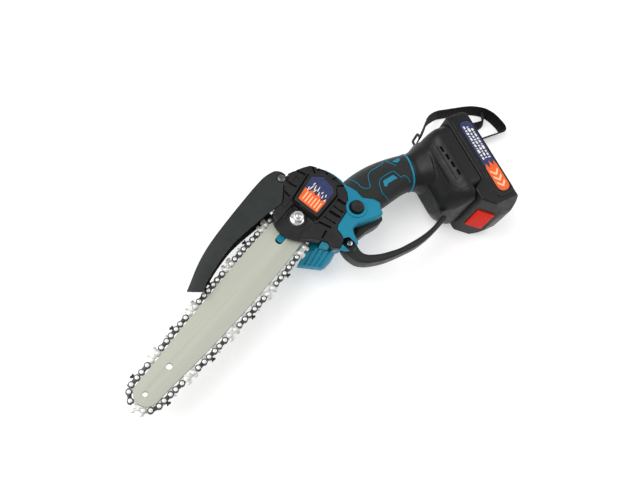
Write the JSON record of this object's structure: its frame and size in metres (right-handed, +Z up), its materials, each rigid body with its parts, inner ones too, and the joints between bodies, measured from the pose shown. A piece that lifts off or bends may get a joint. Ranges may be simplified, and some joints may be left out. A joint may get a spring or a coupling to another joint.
{
  "type": "cordless pruning chainsaw",
  "caption": "One-handed cordless pruning chainsaw with a short guide bar, toothed chain, hinged chain guard, knuckle guard and slide-off battery at the end of the grip.",
  "frame": {"origin": "middle of the saw's bounding box, on the surface it lies on", "axes": "+X from the bar tip towards the handle, +Z up from the surface the saw lies on, +Y towards the top edge of the bar"},
  "size_m": [0.4986, 0.1982, 0.075],
  "materials": {
    "teal_shell": "satin",
    "black_plastic": "fine grain",
    "black_gloss": "satin",
    "soft_grip": "matt",
    "bar_steel": "satin",
    "chain_steel": "oiled",
    "bright_steel": "bright",
    "dark_steel": "blackened",
    "can_steel": "satin",
    "copper": "enamelled wire",
    "sticker": "satin film",
    "red_button": "satin",
    "circuit": "lacquered",
    "cell_wrap": "shrink film",
    "red_wire": "insulation",
    "webbing": "woven"
  },
  "bodies": {
    "saw": {"guide_bar": "bar_steel", "saw_chain": "chain_steel", "motor_stator": "copper", "motor_can": "can_steel", "front_bearing": "bright_steel", "rear_bearing": "bright_steel", "sprocket_cover": "black_gloss", "cover_badge": "sticker", "bar_stud": "bright_steel", "bar_nut": "bright_steel", "housing_right": "teal_shell", "housing_left": "teal_shell", "housing_screw_front": "dark_steel", "housing_screw_top": "dark_steel", "housing_screw_rear": "dark_steel", "housing_screw_grip": "dark_steel", "motor_cap": "black_plastic", "knuckle_guard": "black_plastic", "guard_screw": "bright_steel", "chip_deflector": "teal_shell", "trigger_pin": "bright_steel", "trigger_spring": "bright_steel", "guard_spring": "bright_steel", "button_spring": "bright_steel", "switch_module": "black_gloss", "lead_red": "red_wire", "lead_black": "black_gloss", "guard_pivot_screw": "dark_steel", "grip_right": "soft_grip", "grip_left": "soft_grip", "grip_end_ring": "teal_shell", "foot_right": "black_plastic", "foot_left": "black_plastic", "terminal_block": "black_gloss", "control_board": "circuit", "foot_screw_upper": "dark_steel", "foot_screw_lower": "dark_steel", "strap_lug": "black_gloss", "wrist_strap": "webbing"},
    "rotor": {"motor_shaft": "bright_steel", "motor_rotor": "can_steel", "cooling_fan": "black_plastic", "drive_sprocket": "dark_steel", "sprocket_retainer": "bright_steel"},
    "guard_lever": {"chain_guard": "black_gloss"},
    "trigger_lever": {"trigger": "black_gloss"},
    "lock_button": {"lock_off_button": "black_gloss"},
    "battery": {"battery_lid": "black_plastic", "battery_tub": "black_plastic", "battery_badge": "sticker", "battery_board": "circuit", "release_spring": "bright_steel", "battery_cell_1": "cell_wrap", "battery_cell_2": "cell_wrap", "battery_cell_3": "cell_wrap", "battery_cell_4": "cell_wrap", "battery_cell_5": "cell_wrap"},
    "release": {"release_button": "red_button"}
  },
  "joints": [
    {"name": "rotor_spin", "type": "hinge", "parent": "saw", "child": "rotor", "pos_m": [0.00355, 0.0541, 0.0455], "axis": [0, 0, 1], "continuous": true},
    {"name": "chain_guard_lift", "type": "hinge", "parent": "saw", "child": "guard_lever", "pos_m": [-0.00545, 0.0896, 0.0455], "axis": [0, 0, -1], "range_deg": [0, 60], "stiffness_Nm_per_rad": 0.15},
    {"name": "trigger_pull", "type": "hinge", "parent": "saw", "child": "trigger_lever", "pos_m": [0.00355, 0.0066, 0.0375], "axis": [0, 0, 1], "range_deg": [0, 10], "stiffness_Nm_per_rad": 0.6},
    {"name": "lock_off_press", "type": "slide", "parent": "saw", "child": "lock_button", "axis": [0, 0, -1], "range_m": [0, 0.0035], "stiffness_N_per_m": 500},
    {"name": "battery_slide", "type": "slide", "parent": "saw", "child": "battery", "axis": [-0.4359, -0.9, 0], "range_m": [0, 0.08]},
    {"name": "release_press", "type": "slide", "parent": "battery", "child": "release", "axis": [0.866, 0.5, 0], "range_m": [0, 0.003], "stiffness_N_per_m": 600}
  ]
}
